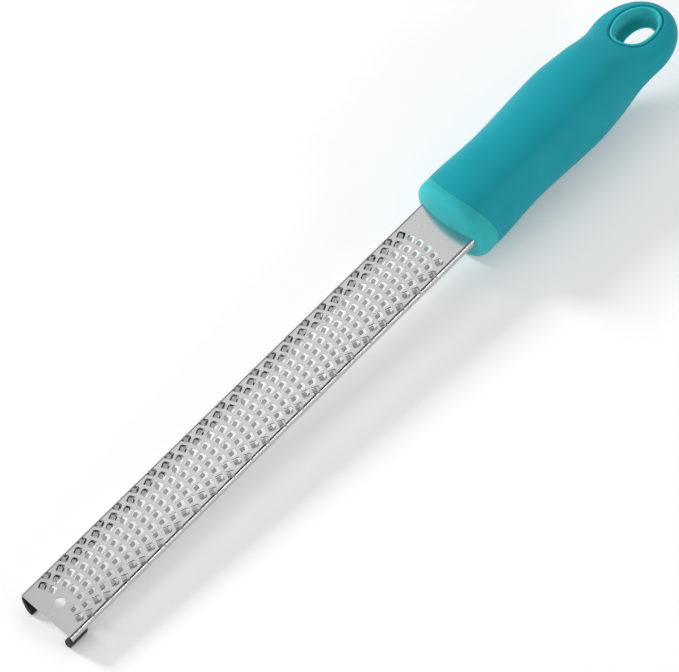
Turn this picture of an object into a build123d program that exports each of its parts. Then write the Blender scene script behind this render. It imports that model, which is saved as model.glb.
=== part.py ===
from build123d import *
import math
import os

# Rasp zester: a long etched steel strip bent into a shallow channel, with a
# moulded handle on one end and two rubber feet under the other.
# Lengths are in millimetres. While the pieces are made, X runs from the tip of
# the blade to the end of the handle, Y runs across, and Z = 0 is the top of the
# blade's sheet. At the end everything moves so that the origin is under the
# middle of the whole tool.

# Blade: a channel with two side rails, each turned inwards into a lip
blade_reach = 200.0
blade_width = 25.8
sheet = 0.5
bend_radius = 1.0
rail_height = 3.4
lip_width = 4.6
lip_setback = 2.0
insert_depth = 7.5
tang_depth = 42.0
tang_width = 16.0
tang_hole_radius = 2.5
tang_hole_pitch = 14.0
tang_holes = 2

# Teeth: rows on arcs across the blade, as many as the steel has room for, with
# one tooth more in every second row
first_row = 9.3
bare_end = 12.5
edge_margin = 0.1
row_pitch = 4.24
row_arc_radius = 24.0
tooth_pitch = 3.82
window_length = 2.7
window_width = 2.95
window_depth = 0.7
arch_gap = 0.95
arm_gap = 0.6
tooth_lift = 0.45

# Round hole near the tip, with a bare ring of steel around it
tip_hole_radius = 2.05
tip_hole_setback = 6.75
tip_hole_ring = 2.2

# Collar: how far it stands out beside the blade, and its domed, rounded front
collar_margin = 3.8
collar_height = 31.4
front_bulge = 0.9
front_dome_rise = 1.0
front_edge_radius = 3.0

# Handle outline, at stations measured from where the blade enters the collar:
# shares of the collar's width and height, and drops below the blade's top
seam_at = 8.8
neck_at = 30.0
swell_at = 63.0
shoulder_at = 76.0
waist_at = 87.5
bulb_at = 97.1
bulb_reach = 19.4
neck_shares = (0.94, 0.94)
swell_shares = (1.0126, 0.983)
shoulder_shares = (0.941, 0.946)
waist_shares = (0.878, 0.724)
bulb_shares = (0.952, 0.466)
collar_drop = 2.2
neck_drop = 1.9
swell_drop = 1.7
shoulder_drop = 1.8
waist_drop = 1.5
bulb_drop = 0.6

# How the handle's surface is drawn: steps from station to station, sides round
# each section, how full a section is beside an ellipse, the turns of the rounded front edge,
# rings of the domed front as shares of it, and the dome that ends the bulb, as
# angles from its widest place
span_steps = 2
section_sides = 24
section_fullness = 2.2
edge_turns = (90, 60, 30)
front_ring_shares = (0.2, 0.6)
dome_angles = (25, 45, 62, 76, 86)

# Core under the grip: a stem with a flat-sided section, a share of the handle's
stem_share = 0.62
fit_gap = 0.1

# Hang hole: an oval through the bulb, lined by the core. The wall runs in a
# little, then a ledge slopes in to the narrowest place and the hole opens again
hole_at = 101.4
oval_sides = 24
liner_length, liner_width = 21.5, 16.1
liner_rim = 0.85
wall_length, wall_width = 17.4, 14.2
ledge_length, ledge_width = 15.2, 9.5
ledge_top = 1.3
ledge_mid = 3.2
ledge_bottom = 4.2
groove_gap = 0.9
groove_floor = 3.2

# Feet: the section's outline is shares of its width, inwards from its skin, and
# of its height, downwards from its top
foot_length = 8.0
foot_reach_top = 0.4
foot_reach_bottom = 1.5
foot_back_slope = 1.6
foot_top = 1.0
foot_drop = 8.8
foot_skin = 0.35
foot_width = 4.15
foot_outline_shares = (
    (0, 0), (0, 0.33), (0.16, 0.70), (0.37, 0.92), (0.69, 1),
    (1, 0.94), (0.98, 0.63), (0.64, 0.33), (0.37, 0.13), (0.28, 0),
)

# How far a cutting shape runs past what it cuts
overrun = 1.0

# What follows from the sizes above
tooth_rows = int((blade_reach - first_row - bare_end) // row_pitch) + 1
short_row = int(blade_width // tooth_pitch)
collar_width = blade_width + 2 * collar_margin
bulb_half = bulb_shares[1] * collar_height / 2


def across(x, drop=0.0):
    """A plane square to the blade's length, its own x along Y and its own y up."""
    return Plane(origin=(x, 0, -drop), x_dir=(0, 1, 0), z_dir=(1, 0, 0))


def slab(x_from, x_to, width, z_from, z_to):
    """A plain block between two stations and two heights, centred across the blade."""
    size = (x_to - x_from, width, z_to - z_from)
    middle = ((x_from + x_to) / 2, 0, (z_from + z_to) / 2)
    return Pos(*middle) * Box(*size)


def channel_section(gap=0.0):
    """The channel's cross section, grown by a gap for the seat that holds it."""
    outer = RectangleRounded(blade_width + 2 * gap, rail_height + 2 * gap, bend_radius + gap)
    inner_width = blade_width - 2 * sheet - 2 * gap
    inner_height = rail_height - 2 * sheet - 2 * gap
    inner = RectangleRounded(inner_width, inner_height, bend_radius - sheet - gap)
    mouth = Pos(0, -rail_height / 2) * Rectangle(blade_width - 2 * lip_width - 2 * gap, rail_height)
    return outer - inner - mouth


def channel(gap=0.0):
    """The bent strip without its teeth, from its tip to its end inside the collar."""
    strip = extrude(across(0, rail_height / 2) * channel_section(gap), blade_reach + insert_depth + gap)
    lips = slab(-overrun, lip_setback, blade_width - 2 * sheet, -rail_height - overrun, -rail_height / 2)
    return strip - lips


def tang(gap=0.0):
    """The flat tongue of the strip that runs on into the handle, with its round holes."""
    end = blade_reach + tang_depth + gap
    strip = slab(blade_reach + insert_depth / 2, end, tang_width + 2 * gap, -sheet - gap, gap)
    first_hole = blade_reach + insert_depth + tang_hole_pitch / 2
    for index in range(tang_holes):
        place = Pos(first_hole + index * tang_hole_pitch, 0, 0)
        strip -= place * Cylinder(tang_hole_radius - gap, 2 * overrun)
    return strip


def tooth_places():
    """Where each tooth sits: rows on arcs, each tooth turned to face the arc's centre."""
    places = []
    for row in range(tooth_rows):
        teeth = short_row + row % 2
        for tooth in range(teeth):
            turn = (tooth - (teeth - 1) / 2) * tooth_pitch / row_arc_radius
            x = first_row + row * row_pitch - row_arc_radius * (1 - math.cos(turn))
            y = row_arc_radius * math.sin(turn)
            from_hole = math.hypot(x - tip_hole_setback, y)
            if from_hole > tip_hole_radius + tip_hole_ring:
                places.append(Location((x, y, 0), (0, 0, math.degrees(turn))))
    return places


def tooth_window():
    """The opening of one tooth, before its tongue goes back in."""
    middle = (sheet - window_depth) / 2
    return Pos(0, 0, middle) * Box(window_length, window_width, window_depth + sheet)


def tooth_tongue():
    """The part that cuts: it leaves the sheet at its root and lifts to a sharp edge."""
    back = -window_length / 2
    tip = window_length / 2 - arch_gap
    side = Polyline((back, -sheet), (tip, tooth_lift), (back, 0), close=True)
    return extrude(Plane.XZ * make_face(side), window_width / 2 - arm_gap, both=True)


def make_blade():
    places = tooth_places()
    tip_hole = Pos(tip_hole_setback, 0, 0) * Cylinder(tip_hole_radius, 2 * overrun)
    window = tooth_window()
    tongue = tooth_tongue()
    flat_width = blade_width - 2 * (bend_radius + edge_margin)
    flat = slab(0, blade_reach, flat_width, -overrun, overrun)
    windows = flat & Compound([place * window for place in places])
    return channel() + tang() - tip_hole - windows + [place * tongue for place in places]


def handle_size(at):
    """Half width, half height and drop of the handle at a station: smooth curves
    through the named stations, level wherever a curve has a high or low place."""
    stations = [
        (-front_bulge, (1, 1), collar_drop),
        (seam_at, (1, 1), collar_drop),
        (neck_at, neck_shares, neck_drop),
        (swell_at, swell_shares, swell_drop),
        (shoulder_at, shoulder_shares, shoulder_drop),
        (waist_at, waist_shares, waist_drop),
        (bulb_at, bulb_shares, bulb_drop),
        (bulb_at + bulb_reach, bulb_shares, bulb_drop),
    ]
    rows = [(place, wide * collar_width / 2, high * collar_height / 2, drop)
            for place, (wide, high), drop in stations]
    here = max(index for index, row in enumerate(rows[:-1]) if row[0] <= at)
    span = rows[here + 1][0] - rows[here][0]
    t = (at - rows[here][0]) / span
    sizes = []
    for column in range(1, len(rows[0])):
        rises = [(b[column] - a[column]) / (b[0] - a[0]) for a, b in zip(rows, rows[1:])]
        slopes = [0.0]
        for rise, next_rise in zip(rises, rises[1:]):
            turns = rise * next_rise <= 0
            slopes.append(0.0 if turns else 2 * rise * next_rise / (rise + next_rise))
        slopes.append(0.0)
        start, end = rows[here][column], rows[here + 1][column]
        level = start + (end - start) * t * t * (3 - 2 * t)
        lean = slopes[here] * t * (1 - t) ** 2 - slopes[here + 1] * t * t * (1 - t)
        sizes.append(level + span * lean)
    return sizes


def handle_section(at, share=1.0, inset=0.0):
    """A soft oval, a little fuller than an ellipse, square to the handle."""
    wide, high, drop = handle_size(at)
    points = []
    for index in range(section_sides):
        angle = 2 * math.pi * index / section_sides
        c, s = math.cos(angle), math.sin(angle)
        y = share * (wide - inset) * math.copysign(abs(c) ** (2 / section_fullness), c)
        z = share * (high - inset) * math.copysign(abs(s) ** (2 / section_fullness), s)
        points.append((y, z))
    return across(blade_reach + at, drop) * make_face(Polyline(*points, close=True))


def collar_front():
    """The front of the collar: a gently domed face with a rounded edge round it."""
    face_at = front_dome_rise - front_bulge
    sections = []
    for share in front_ring_shares:
        at = face_at - front_dome_rise * (1 - share ** 2)
        sections.append(handle_section(at, share, front_edge_radius))
    for angle in edge_turns:
        turn = math.radians(angle)
        at = face_at + front_edge_radius * (1 - math.sin(turn))
        sections.append(handle_section(at, inset=front_edge_radius * (1 - math.cos(turn))))
    sections.append(handle_section(face_at + front_edge_radius))
    return loft(sections, ruled=True)


def handle_body():
    """The whole handle's outer form, from the collar's front to the bulb's rounded end."""
    start = front_dome_rise - front_bulge + front_edge_radius
    stops = [start, seam_at, neck_at, swell_at, shoulder_at, waist_at, bulb_at]
    sections = [handle_section(near + (far - near) * step / span_steps)
                for near, far in zip(stops, stops[1:]) for step in range(span_steps)]
    sections.append(handle_section(bulb_at))
    for angle in dome_angles:
        at = bulb_at + bulb_reach * math.sin(math.radians(angle))
        sections.append(handle_section(at, math.cos(math.radians(angle))))
    return collar_front() + loft(sections, ruled=True)


def stem_section(at):
    """The stem's rectangle at a station, a share of the handle's width and height."""
    wide, high, drop = handle_size(at)
    return across(blade_reach + at, drop) * Rectangle(2 * stem_share * wide, 2 * stem_share * high)


def oval(length, width, height):
    """A flat oval face over the middle of the hang hole, at a height from the bulb's middle."""
    angles = [2 * math.pi * index / oval_sides for index in range(oval_sides)]
    points = [(length / 2 * math.cos(angle), width / 2 * math.sin(angle)) for angle in angles]
    return Pos(blade_reach + hole_at, 0, height - bulb_drop) * make_face(Polyline(*points, close=True))


def oval_bar(length, width, bottom, top):
    """An upright oval bar at the hang hole."""
    return extrude(oval(length, width, bottom), top - bottom)


def hang_hole():
    """The clear space through the liner, widest at both faces of the bulb."""
    half = bulb_half + overrun
    levels = [
        oval(liner_length - 2 * liner_rim, liner_width - 2 * liner_rim, half),
        oval(wall_length, wall_width, -ledge_top),
        oval(ledge_length, ledge_width, -ledge_mid),
        oval(ledge_length, ledge_width, -ledge_bottom),
        oval(wall_length, wall_width, -half),
    ]
    return loft(levels, ruled=True)


def make_handle():
    """The hard core, seen as collar and liner, and the soft grip around its stem."""
    body = handle_body()
    half = bulb_half + overrun
    behind = slab(
        blade_reach + seam_at, blade_reach + bulb_at + bulb_reach + overrun,
        2 * collar_width, -collar_height, collar_height,
    )
    stem = loft([stem_section(at) for at in (seam_at - overrun, neck_at, swell_at, waist_at, hole_at)],
                ruled=True)
    inside = stem + oval_bar(liner_length, liner_width, -half, half)
    core = (body - behind) + (body & inside) - hang_hole() - channel(fit_gap) - tang(fit_gap)
    groove_length, groove_width = liner_length + 2 * groove_gap, liner_width + 2 * groove_gap
    grip = (body & behind) - inside
    grip -= oval_bar(groove_length, groove_width, groove_floor, half)
    grip -= oval_bar(groove_length, groove_width, -half, -groove_floor)
    return core, grip


def make_foot(side):
    """One foot on the side given as 1 or -1, gripping the end of its rail."""
    height = foot_drop - foot_top
    edge = blade_width / 2 - foot_skin
    outline = [(edge - share_in * foot_width, -foot_top - share_down * height)
               for share_in, share_down in foot_outline_shares]
    section = across(-foot_reach_bottom) * make_face(Polyline(*outline, close=True))
    profile = Polyline(
        (-foot_reach_top, -foot_top), (-foot_reach_bottom, -foot_drop),
        (foot_length - foot_back_slope, -foot_drop), (foot_length, -foot_top), close=True,
    )
    wedge = extrude(Plane.XZ * make_face(profile), blade_width, both=True)
    foot = (extrude(section, foot_length + foot_reach_bottom) & wedge) - channel()
    return foot if side > 0 else mirror(foot, Plane.XZ)


def make_parts():
    core, grip = make_handle()
    parts = {
        "blade": make_blade(),
        "handle_core": core,
        "soft_grip": grip,
        "left_foot": make_foot(1),
        "right_foot": make_foot(-1),
    }
    boxes = [part.bounding_box() for part in parts.values()]
    middle_x = (min(box.min.X for box in boxes) + max(box.max.X for box in boxes)) / 2
    lowest_z = min(box.min.Z for box in boxes)
    shift = Pos(-middle_x, 0, -lowest_z)
    return {name: shift * part for name, part in parts.items()}


os.makedirs("parts", exist_ok=True)
for name, part in make_parts().items():
    export_step(part, f"parts/{name}.step")
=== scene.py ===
import bpy
import bmesh
import math
from mathutils import Matrix, Vector


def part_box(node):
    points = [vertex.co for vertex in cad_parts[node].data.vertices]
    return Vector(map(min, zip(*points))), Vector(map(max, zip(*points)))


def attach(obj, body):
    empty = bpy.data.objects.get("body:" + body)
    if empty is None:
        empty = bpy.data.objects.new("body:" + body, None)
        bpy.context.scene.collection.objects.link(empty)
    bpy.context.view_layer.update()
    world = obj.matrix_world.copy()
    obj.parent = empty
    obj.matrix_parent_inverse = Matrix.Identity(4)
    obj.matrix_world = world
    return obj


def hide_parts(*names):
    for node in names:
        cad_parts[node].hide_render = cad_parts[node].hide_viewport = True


# Rasp zester. Lengths are in millimetres from the blade's tip, with X along the
# tool, Y across it and Z = 0 at the top of the blade's sheet, as in the CAD
# source. place() turns them into the row frame's metres.

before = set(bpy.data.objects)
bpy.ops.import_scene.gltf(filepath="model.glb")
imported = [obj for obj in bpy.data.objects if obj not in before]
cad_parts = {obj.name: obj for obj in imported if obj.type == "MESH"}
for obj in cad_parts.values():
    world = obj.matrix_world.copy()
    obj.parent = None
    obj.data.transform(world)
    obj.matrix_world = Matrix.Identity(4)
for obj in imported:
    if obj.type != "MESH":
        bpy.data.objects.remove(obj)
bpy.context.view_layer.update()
MM = 0.001

# Blade
blade_reach = 200.0
blade_width = 25.8
sheet = 0.5
bend_radius = 1.0
rail_height = 3.4
lip_width = 4.6
lip_setback = 2.0
blade_in_collar = 5.0
fold_steps = 6
fold_margin = 0.08
cut_tolerance = 1e-6

# Teeth
tooth_rows = 43
short_row = 6
row_pitch = 4.24
first_row = 9.3
row_arc_radius = 24.0
tooth_pitch = 3.82
window_length = 2.7
window_width = 2.95
window_corner_steps = 4
arch_gap = 1.05
arm_gap = 0.7
arch_radius = 0.75
root_radius = 0.12
tooth_lift = 0.45
tooth_thickness = 0.3
tooth_radius = 0.35
tooth_corner_steps = 3
tip_hole_radius = 2.05
tip_hole_setback = 6.75
tip_hole_ring = 2.2
tip_hole_steps = 24

# Handle stations: distance from where the blade enters, half width, half height, drop
handle_stations = (
    (-0.9, 16.70, 15.70, 2.2),
    (8.8, 16.70, 15.70, 2.2),
    (30.0, 15.70, 14.76, 1.9),
    (63.0, 16.91, 15.43, 1.7),
    (76.0, 15.71, 14.85, 1.8),
    (87.5, 14.66, 11.37, 1.5),
    (97.1, 15.90, 7.31, 0.6),
    (116.5, 15.90, 7.31, 0.6),
)
bulb_drop = handle_stations[-1][3]
station_margin = 0.001
section_fullness = 2.2
around = 144

# The dome that ends the bulb, and the spacing of the grip's rings before it
bulb_at = 97.1
bulb_reach = 19.4
last_dome_angle = 85.5
bulb_dome_steps = 44
grip_step = 0.9
neck_at = 80
neck_step = 0.6

# The curved seam between collar and grip, whose skins overlap and turn in at it
seam_at = 7.9
seam_bulge = 4.1
seam_fade = 18.0
seam_groove = 0.05
seam_lap = 0.1
seam_tuck = 1.2
seam_clear = 1

# The collar's domed front face
front_face_at = 0.6
front_plan_bulge = 1.2
front_dome_rise = 1.0
front_dome_shares = (0.93, 0.85, 0.7, 0.5, 0.3, 0.12)
front_edge_radius = 3.0
front_edge_angle = 88
front_edge_steps = 10
collar_steps = 14

# Hang hole: the soft lip of the grip and the groove between it and the liner
hole_x = blade_reach + 101.4
liner_length, liner_width = 21.5, 16.1
lip_radius = 0.7
lip_angles = (10, 22, 35, 50, 65, 80, 90)
lip_cut = 1.02
groove_gap = 0.75
groove_floor = 3.2
groove_overlap = 0.1
groove_fall_middle, groove_fall_end = 0.25, 0.2

# The liner's rim, wall and ledge. Levels are below the middle of the bulb
liner_steps = 128
liner_rim = 1.0
liner_sunk = 0.1
rim_roundness = 0.42
rim_top_angles = (0, 25, 50, 70, 90, 110, 130, 155, 180)
rim_bottom_angles = (0, 30, 60, 90, 120, 150, 180)
wall_length, wall_width = 17.4, 14.2
ledge_length, ledge_width = 15.2, 9.5
ledge_top, ledge_mid, ledge_bottom = 1.3, 3.2, 4.2
ledge_edge = 0.1

# How the wall runs out: height over the ledge's top, and how much less its inset is
# than at its foot, along and across
wall_curve = ((0.8, 0.2, 0.05), (0.06, 0.02, 0.0))

# How the ledge slopes: a level, the fall below it, and the share of the way in
ledge_slope = (
    (ledge_top, 0.0, 0.04),
    (ledge_top, 0.35, 0.2),
    (ledge_mid, -0.35, 0.84),
    (ledge_mid, -0.12, 0.95),
)

# Under the ledge: its fall and share of the way in, then the last place before the
# lower rim: its rise, and how much more its inset is than the rim
ledge_under_fall, ledge_under_share = 0.3, 0.8
under_rise, under_in_along, under_in_across = 1.0, 0.3, 0.15

# Feet
foot_length = 8.0
foot_reach_top, foot_reach_bottom = 0.4, 1.5
foot_back_slope = 1.6
foot_top, foot_drop = 1.0, 8.8
foot_skin = 0.35
foot_width = 4.15
foot_outline_shares = (
    (0, 0), (0, 0.33), (0.16, 0.70), (0.37, 0.92), (0.69, 1),
    (1, 0.94), (0.98, 0.63), (0.64, 0.33), (0.37, 0.13), (0.28, 0),
)
foot_edge_radius = 0.45
foot_edge_angle = 40
foot_edge_steps = 3

# Angles from which an edge stays sharp
blade_sharp_angle = 30.0
sharp_angle = 35.0

# Surfaces: the part of a noise that is used, and the scales of the slow unevenness
# of colour and gloss
noise_detail = 3.0
noise_low, noise_high = 0.3, 0.7
cloud_scale = 60.0
gloss_scale = 140.0
gloss_spread = 0.04

# How far light goes into the milky plastic, and the share of it by colour
milky_depth = 2.5
milky_radius = (0.3, 1.0, 1.0)

# Studio: the floor's rings, reach and height in metres, and the soft light round
# it, from beyond the tool's two ends and from high up on its far side, in a dim
# room. A range is where that light fades in, as a share of the way to the end, the
# zenith or the far side.
floor_rings = ((4.2, 0.0), (4.8, 0.0), (5.3, 0.06), (5.7, 0.28), (6.0, 1.2))
floor_steps = 64
floor_white = 0.93
floor_glow = 0.16
collar_contact = 3
room_level = 0.06
ends_range, ends_level = (0.34, 0.52), 0.82
overhead_range, overhead_level = (0.60, 0.95), 0.64
far_range = (0.0, 0.22)

# Lamps: name, azimuth, elevation, distance and size in metres, power in watts
softboxes = (
    ("key", 103, 29, 2.0, (0.45, 0.45), 25),
    ("top", 65, 58, 1.6, (0.55, 0.7), 0.7),
    ("fill", -78, 21, 1.4, (0.7, 0.22), 4),
    ("front", 180, 28, 1.8, (0.8, 0.5), 5),
)

# Camera, fitted to the photo: where it stands and which way it looks
camera_stand = (-148.90, -508.01, 909.79)
camera_azimuth = 60.111
camera_elevation = 57.338
camera_roll = 18.70
camera_lens = 164.375
camera_range = 50

tip_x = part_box("blade")[0].x
sheet_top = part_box("blade")[1].z - tooth_lift * MM


def place(x, y, z):
    """A point of the tool in the row frame, in metres."""
    return Vector((tip_x + x * MM, y * MM, sheet_top + z * MM))


def finish_piece(mesh, name, material, nodes=(), sharp=sharp_angle):
    """Turns a mesh into a piece of the object that rides on its body."""
    piece = bpy.data.objects.new(name, mesh)
    bpy.context.scene.collection.objects.link(piece)
    mesh.materials.append(material)
    mesh.shade_smooth()
    mesh.set_sharp_from_angle(angle=math.radians(sharp))
    weighted = piece.modifiers.new("weighted", "WEIGHTED_NORMAL")
    weighted.keep_sharp = True
    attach(piece, "root")
    if nodes:
        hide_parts(*nodes)


def mesh_from(name, points, faces):
    """A mesh from points of the tool."""
    mesh = bpy.data.meshes.new(name)
    mesh.from_pydata([place(*point) for point in points], [], faces)
    mesh.validate()
    return mesh


def placed_mesh(bm, name):
    """A mesh from a bmesh that is still in the tool's own millimetres. Points and faces
    are sorted, because an extrusion leaves them in another order on each run."""
    bmesh.ops.recalc_face_normals(bm, faces=bm.faces[:])
    for vert in bm.verts:
        vert.co = place(*vert.co)
    verts = sorted(bm.verts, key=lambda vert: tuple(vert.co))
    numbers = {vert: number for number, vert in enumerate(verts)}
    faces = sorted(tuple(numbers[vert] for vert in face.verts) for face in bm.faces)
    mesh = bpy.data.meshes.new(name)
    mesh.from_pydata([tuple(vert.co) for vert in verts], [], faces)
    bm.free()
    return mesh


def ring_faces(rings, size, closed_end=False, looped=False):
    """Faces between rings of points. A closed end gets a cap, and a looped run joins
    its last ring to its first."""
    faces = []
    for ring in range(rings if looped else rings - 1):
        a, b = ring * size, (ring + 1) % rings * size
        for index in range(size):
            after = (index + 1) % size
            faces.append((a + index, a + after, b + after, b + index))
    if closed_end:
        faces.append(tuple((rings - 1) * size + index for index in range(size)))
    return faces


def bridge(bm, near, far):
    """Faces between two rings of the same size in a bmesh."""
    for index in range(len(near)):
        after = (index + 1) % len(near)
        bm.faces.new((near[index], near[after], far[after], far[index]))


# Materials

def new_material(name):
    material = bpy.data.materials.new(name)
    material.use_nodes = True
    tree = material.node_tree
    shader = tree.nodes["Principled BSDF"]
    return material, tree, shader


def node(tree, kind, **settings):
    made = tree.nodes.new(kind)
    for key, value in settings.items():
        setattr(made, key, value)
    return made


def maths(tree, operation, first, second):
    """One sum on two outputs, or on an output and a number."""
    made = node(tree, "ShaderNodeMath", operation=operation)
    tree.links.new(first, made.inputs[0])
    if isinstance(second, float):
        made.inputs[1].default_value = second
    else:
        tree.links.new(second, made.inputs[1])
    return made.outputs[0]


def noise(tree, scale, stretch=(1, 1, 1)):
    """A noise texture in the object's own coordinates, in metres times a stretch."""
    coordinates = node(tree, "ShaderNodeTexCoord")
    mapping = node(tree, "ShaderNodeMapping")
    mapping.inputs["Scale"].default_value = stretch
    texture = node(tree, "ShaderNodeTexNoise")
    texture.inputs["Scale"].default_value = scale
    texture.inputs["Detail"].default_value = noise_detail
    tree.links.new(coordinates.outputs["Object"], mapping.inputs["Vector"])
    tree.links.new(mapping.outputs["Vector"], texture.inputs["Vector"])
    return texture.outputs["Fac"]


def ramp(tree, value, low, high):
    """Maps a noise value onto a run of two colours."""
    made = node(tree, "ShaderNodeValToRGB")
    made.color_ramp.elements[0].position = noise_low
    made.color_ramp.elements[0].color = (*low, 1)
    made.color_ramp.elements[1].position = noise_high
    made.color_ramp.elements[1].color = (*high, 1)
    tree.links.new(value, made.inputs["Fac"])
    return made.outputs["Color"]


def spread(tree, value, low, high):
    """Maps a noise value onto a range of numbers."""
    made = node(tree, "ShaderNodeMapRange")
    made.inputs["From Min"].default_value = noise_low
    made.inputs["From Max"].default_value = noise_high
    made.inputs["To Min"].default_value = low
    made.inputs["To Max"].default_value = high
    tree.links.new(value, made.inputs["Value"])
    return made.outputs["Result"]


def bump(tree, shader, value, distance):
    made = node(tree, "ShaderNodeBump")
    made.inputs["Strength"].default_value = 1.0
    made.inputs["Distance"].default_value = distance
    tree.links.new(value, made.inputs["Height"])
    tree.links.new(made.outputs["Normal"], shader.inputs["Normal"])


def moulded(name, light, dark, roughness, grain_scale, grain_depth, specular, milky=0.0):
    """A moulded plastic or rubber: slightly uneven colour and gloss, and a fine grain
    whose depth is in metres. A milky plastic lets some light through its skin."""
    material, tree, shader = new_material(name)
    colour = ramp(tree, noise(tree, cloud_scale), dark, light)
    gloss = spread(tree, noise(tree, gloss_scale), roughness - gloss_spread, roughness + gloss_spread)
    tree.links.new(colour, shader.inputs["Base Color"])
    tree.links.new(gloss, shader.inputs["Roughness"])
    shader.inputs["Specular IOR Level"].default_value = specular
    shader.inputs["Subsurface Weight"].default_value = milky
    shader.inputs["Subsurface Radius"].default_value = milky_radius
    shader.inputs["Subsurface Scale"].default_value = milky_depth * MM
    bump(tree, shader, noise(tree, grain_scale), grain_depth)
    return material


def steel(light, dark, smoothest, roughest, grain_scale, grain_stretch):
    """Satin stainless sheet, with a fine grain that runs along it."""
    material, tree, shader = new_material("stainless")
    grain = noise(tree, grain_scale, grain_stretch)
    tree.links.new(ramp(tree, grain, dark, light), shader.inputs["Base Color"])
    tree.links.new(spread(tree, grain, smoothest, roughest), shader.inputs["Roughness"])
    shader.inputs["Metallic"].default_value = 1.0
    return material


stainless = steel(
    light=(0.62, 0.62, 0.622), dark=(0.57, 0.57, 0.572), smoothest=0.18, roughest=0.21,
    grain_scale=2600.0, grain_stretch=(0.4, 1, 1),
)
core_plastic = moulded(
    "core_plastic", light=(0.040, 0.51, 0.54), dark=(0.034, 0.47, 0.50), roughness=0.46,
    grain_scale=2500.0, grain_depth=0.000003, specular=0.12, milky=0.5,
)
grip_rubber = moulded(
    "grip_rubber", light=(0.006, 0.36, 0.43), dark=(0.004, 0.335, 0.405), roughness=0.56,
    grain_scale=4200.0, grain_depth=0.000006, specular=0.2,
)
foot_rubber = moulded(
    "foot_rubber", light=(0.010, 0.010, 0.010), dark=(0.006, 0.006, 0.006), roughness=0.55,
    grain_scale=3500.0, grain_depth=0.000010, specular=0.2,
)


# Blade: cut flat with all its windows, then folded

half_flat = blade_width / 2 - bend_radius
mid_radius = bend_radius - sheet / 2
bend_run = mid_radius * math.pi / 2
flange = rail_height - 2 * bend_radius
lip_flat = lip_width - bend_radius
fold_marks = [half_flat, half_flat + bend_run]
fold_marks += [fold_marks[1] + flange, fold_marks[1] + flange + bend_run]
flat_half_width = fold_marks[3] + lip_flat


def folded(across, depth):
    """Where a point of the flat strip goes: across and down on the folded channel."""
    side = math.copysign(1.0, across)
    run = abs(across)
    first, second, third, fourth = fold_marks
    outer = blade_width / 2
    if run <= first:
        return side * run, -depth
    if run <= second:
        turn = (run - first) / mid_radius
        reach = bend_radius - depth
        return side * (first + reach * math.sin(turn)), -bend_radius + reach * math.cos(turn)
    if run <= third:
        return side * (outer - depth), -bend_radius - (run - second)
    low = -rail_height + bend_radius
    if run <= fourth:
        turn = (run - third) / mid_radius
        reach = bend_radius - depth
        return side * (outer - bend_radius + reach * math.cos(turn)), low - reach * math.sin(turn)
    return side * (outer - bend_radius - (run - fourth)), -rail_height + depth


def arc(cx, cy, radius, start, end, steps):
    """Points on an arc, angles in degrees."""
    points = []
    for step in range(steps + 1):
        angle = math.radians(start + (end - start) * step / steps)
        points.append((cx + radius * math.cos(angle), cy + radius * math.sin(angle)))
    return points


def tooth_places():
    """Middle and turn of each tooth, in rows on arcs."""
    places = []
    for row in range(tooth_rows):
        teeth = short_row + row % 2
        for tooth in range(teeth):
            turn = (tooth - (teeth - 1) / 2) * tooth_pitch / row_arc_radius
            x = first_row + row * row_pitch - row_arc_radius * (1 - math.cos(turn))
            y = row_arc_radius * math.sin(turn)
            if math.hypot(x - tip_hole_setback, y) > tip_hole_radius + tip_hole_ring:
                places.append((x, y, turn))
    return places


def turned(points, x, y, turn):
    """An outline turned and moved to a tooth's place."""
    c, s = math.cos(turn), math.sin(turn)
    return [(x + c * u - s * v, y + s * u + c * v) for u, v in points]


def strip_outline():
    """The flat strip's outline. Its lips start a little behind the tip."""
    tip_run = fold_marks[2] + bend_run / 2
    end = blade_reach + blade_in_collar
    near = [(lip_setback, flat_half_width), (lip_setback, fold_marks[3]), (0, tip_run)]
    far = [(x, -y) for x, y in reversed(near)]
    return [(end, -flat_half_width), (end, flat_half_width)] + near + far


def arched_outline(back, front, side, radius, steps):
    """A straight back and a front with two round corners."""
    outline = [(back, side), (back, -side)]
    outline += arc(front - radius, -side + radius, radius, -90, 0, steps)
    outline += arc(front - radius, side - radius, radius, 0, 90, steps)
    return outline


def window_outline():
    """The whole window, without the tongue that lies in it."""
    end, side = window_length / 2, window_width / 2
    outline = arched_outline(-end, end, side, arch_radius, window_corner_steps)
    return outline


def tongue_rings():
    """Two outlines of a tongue, top and bottom, from its root to its lifted tip."""
    back = -window_length / 2 - root_radius
    tip, half = window_length / 2 - arch_gap, window_width / 2 - arm_gap
    top, bottom = [], []
    for u, v in arched_outline(back, tip, half, tooth_radius, tooth_corner_steps):
        rise = tooth_lift * (u - back) / (tip - back)
        thick = sheet + (tooth_thickness - sheet) * (u - back) / (tip - back)
        top.append((u, v, rise))
        bottom.append((u, v, rise - thick))
    return top, bottom


def add_loop(bm, points):
    made = [bm.verts.new((x, y, 0)) for x, y in points]
    return [bm.edges.new((a, b)) for a, b in zip(made, made[1:] + made[:1])]


def add_tongue(bm, x, y, turn):
    """One tongue as a closed shape of its own, folded with the strip."""
    rings = []
    for ring in tongue_rings():
        flat = turned([(u, v) for u, v, _ in ring], x, y, turn)
        points = []
        for (px, py), (_, _, rise) in zip(flat, ring):
            fy, fz = folded(py, -rise)
            points.append(bm.verts.new((px, fy, fz)))
        rings.append(points)
    top, bottom = rings
    bm.faces.new(top)
    bm.faces.new(reversed(bottom))
    for index in range(len(top)):
        after = (index + 1) % len(top)
        bm.faces.new((top[index], bottom[index], bottom[after], top[after]))


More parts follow.
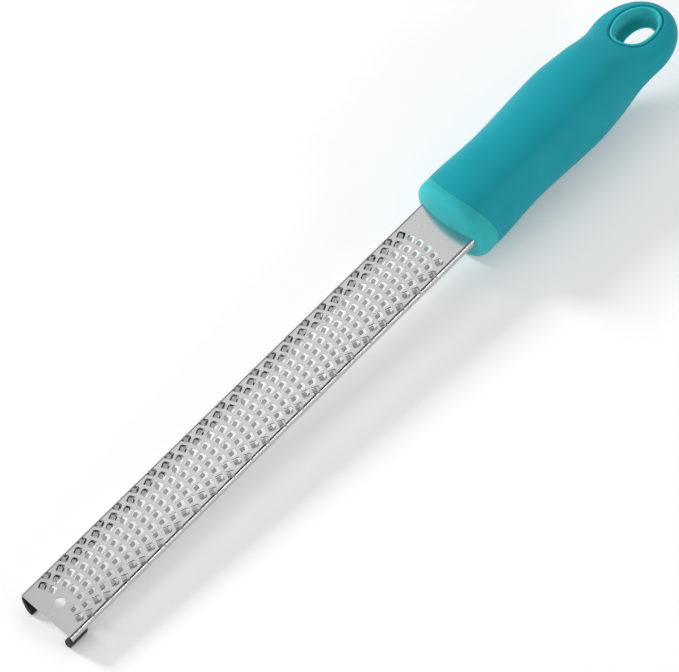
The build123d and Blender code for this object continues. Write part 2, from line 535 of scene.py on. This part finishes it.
def cut_along_bends(bm):
    """Cuts the flat strip along lines where it will bend, and just beside them."""
    marks = []
    for start, end in ((fold_marks[0], fold_marks[1]), (fold_marks[2], fold_marks[3])):
        marks += [start + (end - start) * step / fold_steps for step in range(fold_steps + 1)]
        marks += [start - fold_margin, end + fold_margin]
    for mark in marks:
        for side in (1, -1):
            bmesh.ops.bisect_plane(
                bm, geom=bm.verts[:] + bm.edges[:] + bm.faces[:], dist=cut_tolerance,
                plane_co=(0, side * mark, 0), plane_no=(0, 1, 0),
            )


def thicken(bm):
    """Gives the flat strip the sheet's thickness, downwards."""
    for face in bm.faces:
        if face.normal.z < 0:
            face.normal_flip()
    top = bm.faces[:]
    made = bmesh.ops.extrude_face_region(bm, geom=top, use_keep_orig=True)
    for item in made["geom"]:
        if isinstance(item, bmesh.types.BMVert):
            item.co.z = -sheet
    for face in top:
        face.normal_flip()


def build_blade():
    """The folded strip with its windows and tip hole, and a tongue in each window."""
    places = tooth_places()
    bm = bmesh.new()
    edges = add_loop(bm, strip_outline())
    for x, y, turn in places:
        edges += add_loop(bm, turned(window_outline(), x, y, turn))
    last_angle = 360 - 360 / tip_hole_steps
    hole = arc(tip_hole_setback, 0, tip_hole_radius, 0, last_angle, tip_hole_steps - 1)
    edges += add_loop(bm, hole)
    bmesh.ops.triangle_fill(bm, edges=edges, use_beauty=True, use_dissolve=False)
    cut_along_bends(bm)
    thicken(bm)
    for vert in bm.verts:
        y, z = folded(vert.co.y, -vert.co.z)
        vert.co.y, vert.co.z = y, z
    for x, y, turn in places:
        add_tongue(bm, x, y, turn)
    return placed_mesh(bm, "blade_sheet")


# Handle

def handle_size(at):
    """Half width, half height and drop at a station, on smooth curves."""
    rows = handle_stations
    here = max(index for index, row in enumerate(rows[:-1]) if row[0] <= at)
    span = rows[here + 1][0] - rows[here][0]
    t = (at - rows[here][0]) / span
    sizes = []
    for column in range(1, len(rows[0])):
        rises = [(b[column] - a[column]) / (b[0] - a[0]) for a, b in zip(rows, rows[1:])]
        slopes = [0.0]
        for rise, after in zip(rises, rises[1:]):
            slopes.append(0.0 if rise * after <= 0 else 2 * rise * after / (rise + after))
        slopes.append(0.0)
        start, end = rows[here][column], rows[here + 1][column]
        level = start + (end - start) * t * t * (3 - 2 * t)
        lean = slopes[here] * t * (1 - t) ** 2 - slopes[here + 1] * t * t * (1 - t)
        sizes.append(level + span * lean)
    return sizes


def outer_size(at):
    """The same with the dome that ends the bulb."""
    wide, high, drop = handle_size(min(at, handle_stations[-1][0] - station_margin))
    if at > bulb_at:
        share = math.sqrt(max(0.0, 1 - ((at - bulb_at) / bulb_reach) ** 2))
        wide, high = wide * share, high * share
    return wide, high, drop


def section(at, inset=0.0, bulge=0.0):
    """A ring of points round the handle at a station, drawn in by an inset. A bulge
    brings its middle forward, on top and underneath."""
    wide = outer_size(at)[0]
    ring = []
    for index in range(around):
        angle = 2 * math.pi * index / around
        c, s = math.cos(angle), math.sin(angle)
        off_middle = (1 - inset / wide) * abs(c) ** (2 / section_fullness)
        here = at - bulge * (1 - off_middle ** 2)
        wide, high, drop = outer_size(here)
        y = (wide - inset) * math.copysign(abs(c) ** (2 / section_fullness), c)
        z = (high - inset) * math.copysign(abs(s) ** (2 / section_fullness), s)
        ring.append((blade_reach + here, y, z - drop))
    return ring


def skin_height(x, y, side):
    """Height of the handle's surface over a plan point, above (1) or below (-1)."""
    wide, high, drop = outer_size(x - blade_reach)
    share = max(0.0, 1 - (abs(y) / wide) ** section_fullness) ** (1 / section_fullness)
    return side * high * share - drop


def build_collar():
    """The collar from inside the seam to the domed front face, where the blade goes in."""
    rings = [
        section(seam_at + seam_lap, seam_tuck, seam_bulge),
        section(seam_at, seam_groove, seam_bulge),
    ]
    edge_at = front_face_at + front_edge_radius
    for step in range(collar_steps + 1):
        share = step / collar_steps
        bulge = seam_bulge + (front_plan_bulge - seam_bulge) * share
        at = seam_at - seam_lap + (edge_at - seam_at + seam_lap) * share
        rings.append(section(at, 0.0, bulge))
    for step in range(1, front_edge_steps + 1):
        angle = math.radians(front_edge_angle * step / front_edge_steps)
        at = edge_at - front_edge_radius * math.sin(angle)
        rings.append(section(at, front_edge_radius * (1 - math.cos(angle)), front_plan_bulge))
    face = rings[-1]
    half_width, middle_z = handle_stations[0][1], -handle_stations[0][3]
    for share in front_dome_shares:
        dome = front_dome_rise * (1 - share ** 2)
        ring = []
        for x, y, z in face:
            plan = front_plan_bulge * (y / half_width) ** 2 * (1 - share ** 2)
            ring.append((x - dome - plan, y * share, (z - middle_z) * share + middle_z))
        rings.append(ring)
    points = [point for ring in rings for point in ring]
    return mesh_from("collar_skin", points, ring_faces(len(rings), around, closed_end=True))


def oval_share(x, y, length, width):
    """How far out a place is from the hang hole's middle, where 1 is on an oval."""
    return math.hypot((x - hole_x) / (length / 2), y / (width / 2))


def on_oval(x, y, length, width):
    """The nearest place on an oval round the hang hole, along a line from its middle."""
    reach = oval_share(x, y, length, width)
    return hole_x + (x - hole_x) / reach, y / reach


def grip_stations():
    """Stations along the grip, closer together where it curves more."""
    stations = [seam_at + seam_lap]
    while stations[-1] < bulb_at - grip_step:
        stations.append(stations[-1] + (grip_step if stations[-1] < neck_at else neck_step))
    for step in range(bulb_dome_steps + 1):
        angle = math.radians(last_dome_angle * step / bulb_dome_steps)
        stations.append(bulb_at + bulb_reach * math.sin(angle))
    return stations


def lip_profile():
    """The lip's way down into the groove: how far in and how far below the skin."""
    profile = []
    for degrees in lip_angles:
        angle = math.radians(degrees)
        profile.append((lip_radius * math.sin(angle), lip_radius * (1 - math.cos(angle))))
    profile.append((lip_radius + 0.5 * groove_gap, lip_radius + groove_fall_middle))
    profile.append((lip_radius + groove_gap + groove_overlap, lip_radius + groove_fall_end))
    return profile


def add_lip(bm, side, length, width):
    """A soft lip round the hang hole, above (1) or below (-1)."""
    front = blade_reach + seam_at + seam_clear
    loop = {vert for edge in bm.edges if edge.is_boundary and edge.verts[0].co.x > front
            for vert in edge.verts if (vert.co.z + bulb_drop) * side > 0}
    for vert in loop:
        x, y = on_oval(vert.co.x, vert.co.y, length, width)
        vert.co = (x, y, skin_height(x, y, side))
    ordered = sorted(loop, key=lambda vert: math.atan2(vert.co.y, vert.co.x - hole_x))
    previous = ordered
    for inset, fall in lip_profile():
        ring = []
        for vert in ordered:
            x, y = on_oval(vert.co.x, vert.co.y, length - 2 * inset, width - 2 * inset)
            ring.append(bm.verts.new((x, y, skin_height(x, y, side) - side * fall)))
        bridge(bm, previous, ring)
        previous = ring


def build_grip():
    """The grip's skin, with a soft lip round the hang hole above and below."""
    length = liner_length + 2 * groove_gap + 2 * lip_radius
    width = liner_width + 2 * groove_gap + 2 * lip_radius
    rings = [
        section(seam_at - seam_lap, seam_tuck, seam_bulge),
        section(seam_at, seam_groove, seam_bulge),
    ]
    for at in grip_stations():
        share = max(0.0, 1 - (at - seam_at) / seam_fade) ** 2
        rings.append(section(at, 0.0, seam_bulge * share))
    bm = bmesh.new()
    made = [[bm.verts.new(point) for point in ring] for ring in rings]
    for near, far in zip(made, made[1:]):
        bridge(bm, near, far)
    bm.faces.new(made[-1])
    bm.normal_update()
    hole_faces = []
    for face in bm.faces:
        x, y, _ = face.calc_center_median()
        if oval_share(x, y, lip_cut * length, lip_cut * width) < 1:
            hole_faces.append(face)
    bmesh.ops.delete(bm, geom=hole_faces, context="FACES")
    for side in (1, -1):
        add_lip(bm, side, length, width)
    return placed_mesh(bm, "grip_skin")


def liner_profile(c, s):
    """The liner's profile in one direction from the hole's middle: over the upper rim,
    down the wall, along the ledge and round the lower rim."""
    wall_in = (liner_length - wall_length) / 2, (liner_width - wall_width) / 2
    ledge_in = (liner_length - ledge_length) / 2, (liner_width - ledge_width) / 2

    def at(z, inset_along, inset_across):
        x = hole_x + (liner_length / 2 - inset_along) * c
        return x, (liner_width / 2 - inset_across) * s, z

    def between(z, share):
        """A place between the wall's foot (0) and the ledge's inner edge (1)."""
        return at(z, *(low + (high - low) * share for low, high in zip(wall_in, ledge_in)))

    x, y, _ = at(0, liner_rim / 2, liner_rim / 2)
    top = skin_height(x, y, 1) - liner_sunk
    low = skin_height(x, y, -1) + liner_sunk
    half = rim_roundness * liner_rim
    profile = [at(groove_floor - bulb_drop, 0, 0)]
    for degrees in rim_top_angles:
        angle = math.radians(degrees)
        inset = liner_rim / 2 * (1 - math.cos(angle))
        profile.append(at(top - half + half * math.sin(angle), inset, inset))
    for rise, less_along, less_across in wall_curve:
        z = -bulb_drop - ledge_top + rise
        profile.append(at(z, wall_in[0] - less_along, wall_in[1] - less_across))
    for level, fall, share in ledge_slope:
        profile.append(between(-bulb_drop - level - fall, share))
    profile.append(at(-bulb_drop - ledge_mid - ledge_edge, *ledge_in))
    profile.append(at(-bulb_drop - ledge_bottom + ledge_edge, *ledge_in))
    profile.append(between(-bulb_drop - ledge_bottom - ledge_under_fall, ledge_under_share))
    profile.append(at(low + under_rise, liner_rim + under_in_along, liner_rim + under_in_across))
    for degrees in rim_bottom_angles:
        angle = math.radians(degrees)
        inset = liner_rim / 2 * (1 + math.cos(angle))
        profile.append(at(low + half - half * math.sin(angle), inset, inset))
    return profile


def build_liner():
    """The liner of the hang hole: a rim that follows the bulb, a wall, and a ledge."""
    profiles = []
    for index in range(liner_steps):
        angle = 2 * math.pi * index / liner_steps
        profiles.append(liner_profile(math.cos(angle), math.sin(angle)))
    points = [point for ring in zip(*profiles) for point in ring]
    return mesh_from("liner_skin", points, ring_faces(len(profiles[0]), liner_steps, looped=True))


def build_foot(side):
    """A rubber foot: the section's outline drawn along the rail, with leaning ends."""
    height = foot_drop - foot_top
    edge = blade_width / 2 - foot_skin
    points = []
    for end in (0, 1):
        for share_in, share_down in foot_outline_shares:
            front = -foot_reach_top - share_down * (foot_reach_bottom - foot_reach_top)
            back = foot_length - share_down * foot_back_slope
            x = back if end else front
            points.append((x, side * (edge - share_in * foot_width), -foot_top - share_down * height))
    size = len(foot_outline_shares)
    faces = ring_faces(2, size) + [tuple(range(size)), tuple(range(size, 2 * size))]
    mesh = mesh_from("foot_skin", points, faces)
    bm = bmesh.new()
    bm.from_mesh(mesh)
    bmesh.ops.recalc_face_normals(bm, faces=bm.faces[:])
    ends = [edge for edge in bm.edges if edge.calc_face_angle(0) > math.radians(foot_edge_angle)]
    bmesh.ops.bevel(
        bm, geom=ends, offset=foot_edge_radius * MM, segments=foot_edge_steps,
        profile=0.5, affect="EDGES",
    )
    bm.to_mesh(mesh)
    bm.free()
    return mesh


finish_piece(build_blade(), "blade_sheet", stainless, ["blade"], blade_sharp_angle)
finish_piece(build_collar(), "collar_skin", core_plastic, ["handle_core"])
finish_piece(build_liner(), "liner_skin", core_plastic)
finish_piece(build_grip(), "grip_skin", grip_rubber, ["soft_grip"])
finish_piece(build_foot(1), "left_foot_skin", foot_rubber, ["left_foot"])
finish_piece(build_foot(-1), "right_foot_skin", foot_rubber, ["right_foot"])


# Floor, light and camera

def floor_material():
    """Pale and dull, and a little brighter to the camera and in reflections."""
    material, tree, shader = new_material("floor")
    shader.inputs["Base Color"].default_value = (floor_white, floor_white, floor_white, 1)
    shader.inputs["Roughness"].default_value = 1.0
    shader.inputs["Specular IOR Level"].default_value = 0.0
    path = node(tree, "ShaderNodeLightPath")
    seen = maths(tree, "MAXIMUM", path.outputs["Is Camera Ray"], path.outputs["Is Glossy Ray"])
    seen_through = maths(tree, "MAXIMUM", seen, path.outputs["Is Transmission Ray"])
    glow = maths(tree, "MULTIPLY", seen_through, floor_glow)
    shader.inputs["Emission Color"].default_value = (1, 1, 1, 1)
    tree.links.new(glow, shader.inputs["Emission Strength"])
    return material


def studio_floor():
    """A pale floor that shows white to the camera, with the tool's shadow on it, and
    that rises into a pale rim all round. It leans a little, because the tool rests on
    its feet and on the collar."""
    mesh = bpy.data.meshes.new("floor")
    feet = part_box("left_foot")[0]
    collar_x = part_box("handle_core")[0].x + collar_contact * MM
    lean = -feet.z / (collar_x - feet.x)
    points = []
    for reach, height in floor_rings:
        for step in range(floor_steps):
            angle = 2 * math.pi * step / floor_steps
            x, y = reach * math.cos(angle), reach * math.sin(angle)
            points.append((x, y, feet.z + lean * (x - feet.x) + height))
    rim = [tuple(reversed(face)) for face in ring_faces(len(floor_rings), floor_steps)]
    mesh.from_pydata(points, [], [tuple(range(floor_steps))] + rim)
    mesh.shade_smooth()
    floor = bpy.data.objects.new("floor", mesh)
    bpy.context.scene.collection.objects.link(floor)
    mesh.materials.append(floor_material())


def toward(azimuth, elevation):
    """A direction from angles in degrees."""
    a, e = math.radians(azimuth), math.radians(elevation)
    return Vector((math.cos(e) * math.cos(a), math.cos(e) * math.sin(a), math.sin(e)))


def fade(tree, value, fade_range):
    """A soft step from 0 to 1."""
    made = node(tree, "ShaderNodeMapRange", interpolation_type="SMOOTHSTEP")
    made.inputs["From Min"].default_value, made.inputs["From Max"].default_value = fade_range
    tree.links.new(value, made.inputs["Value"])
    return made.outputs["Result"]


def world_light():
    """Soft grey light, as from large diffusers at the tool's ends and high up on its
    far side."""
    world = bpy.data.worlds.new("studio")
    bpy.context.scene.world = world
    world.use_nodes = True
    tree = world.node_tree
    background = tree.nodes["Background"]
    background.inputs["Color"].default_value = (1, 1, 1, 1)
    coordinates = node(tree, "ShaderNodeTexCoord")
    parts = node(tree, "ShaderNodeSeparateXYZ")
    tree.links.new(coordinates.outputs["Generated"], parts.inputs[0])
    to_end = node(tree, "ShaderNodeMath", operation="ABSOLUTE")
    tree.links.new(parts.outputs["X"], to_end.inputs[0])
    ends = fade(tree, to_end.outputs[0], ends_range)
    high = fade(tree, parts.outputs["Z"], overhead_range)
    far = fade(tree, parts.outputs["Y"], far_range)
    from_ends = maths(tree, "MULTIPLY", ends, ends_level)
    from_above = maths(tree, "MULTIPLY", maths(tree, "MULTIPLY", high, far), overhead_level)
    level = maths(tree, "MAXIMUM", maths(tree, "MAXIMUM", from_ends, from_above), room_level)
    tree.links.new(level, background.inputs["Strength"])


def softbox(name, azimuth, elevation, distance, size, power):
    """An area lamp aimed at the middle of the tool."""
    light = bpy.data.lights.new(name, "AREA")
    light.shape = "RECTANGLE"
    light.size, light.size_y = size
    light.energy = power
    lamp = bpy.data.objects.new(name, light)
    bpy.context.scene.collection.objects.link(lamp)
    away = toward(azimuth, elevation)
    lamp.location = away * distance
    lamp.rotation_euler = away.to_track_quat("Z", "Y").to_euler()


def add_camera():
    camera = bpy.data.objects.new("camera", bpy.data.cameras.new("camera"))
    bpy.context.scene.collection.objects.link(camera)
    a, roll = math.radians(camera_azimuth), math.radians(camera_roll)
    look = toward(camera_azimuth, -camera_elevation)
    level = Vector((math.sin(a), -math.cos(a), 0))
    over = level.cross(look)
    right = level * math.cos(roll) - over * math.sin(roll)
    turn = Matrix((right, right.cross(look), -look)).transposed()
    camera.matrix_world = Matrix.Translation(place(*camera_stand)) @ turn.to_4x4()
    camera.data.lens = camera_lens
    camera.data.clip_end = camera_range
    bpy.context.scene.camera = camera


studio_floor()
world_light()
for lamp_values in softboxes:
    softbox(*lamp_values)
add_camera()
bpy.context.scene.view_settings.view_transform = "Standard"
